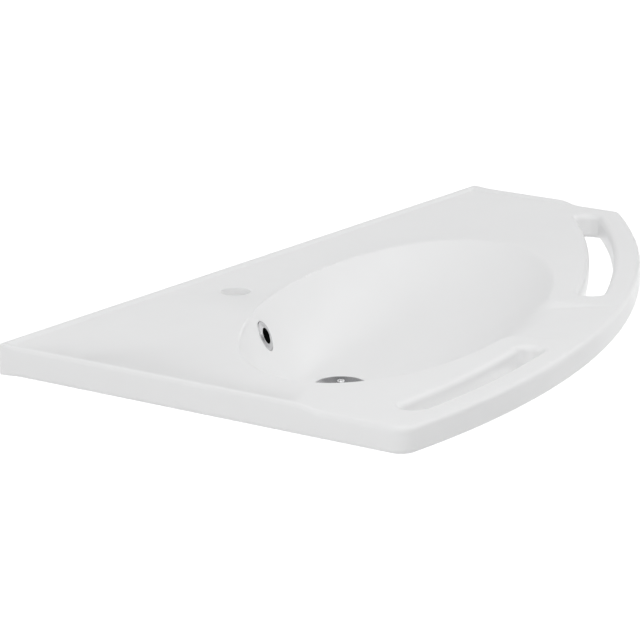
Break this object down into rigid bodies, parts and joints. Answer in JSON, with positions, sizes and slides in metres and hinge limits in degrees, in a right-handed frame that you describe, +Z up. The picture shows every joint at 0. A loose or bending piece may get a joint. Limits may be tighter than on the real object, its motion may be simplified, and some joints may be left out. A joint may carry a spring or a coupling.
{
  "type": "corner basin",
  "caption": "Wall-hung basin with a deep left side, a curved front with grip slots, an oval bowl, a tap hole, a strainer waste and an overflow.",
  "frame": {"origin": "on the back face, midway between the two wall fixing holes", "axes": "+X along the wall to the shallow right side, +Y into the wall, +Z up"},
  "size_m": [0.95, 0.5433, 0.15],
  "materials": {
    "cast_composite": "white gelcoat, glossy",
    "chrome": "polished",
    "stainless": "polished stainless steel",
    "rubber": "matt black",
    "white_plastic": "moulded",
    "hose_plastic": "moulded"
  },
  "bodies": {
    "root": {"basin": "cast_composite", "waste_strainer": "stainless", "strainer_gasket": "rubber", "waste_screw": "stainless", "waste_body_gasket": "rubber", "waste_body": "white_plastic", "overflow_ring": "chrome", "overflow_ring_seal": "rubber", "overflow_elbow": "white_plastic", "overflow_elbow_seal": "rubber", "overflow_hose": "hose_plastic", "hose_nut_upper": "white_plastic", "hose_seal_upper": "rubber", "hose_nut_lower": "white_plastic", "hose_seal_lower": "rubber"}
  },
  "joints": []
}
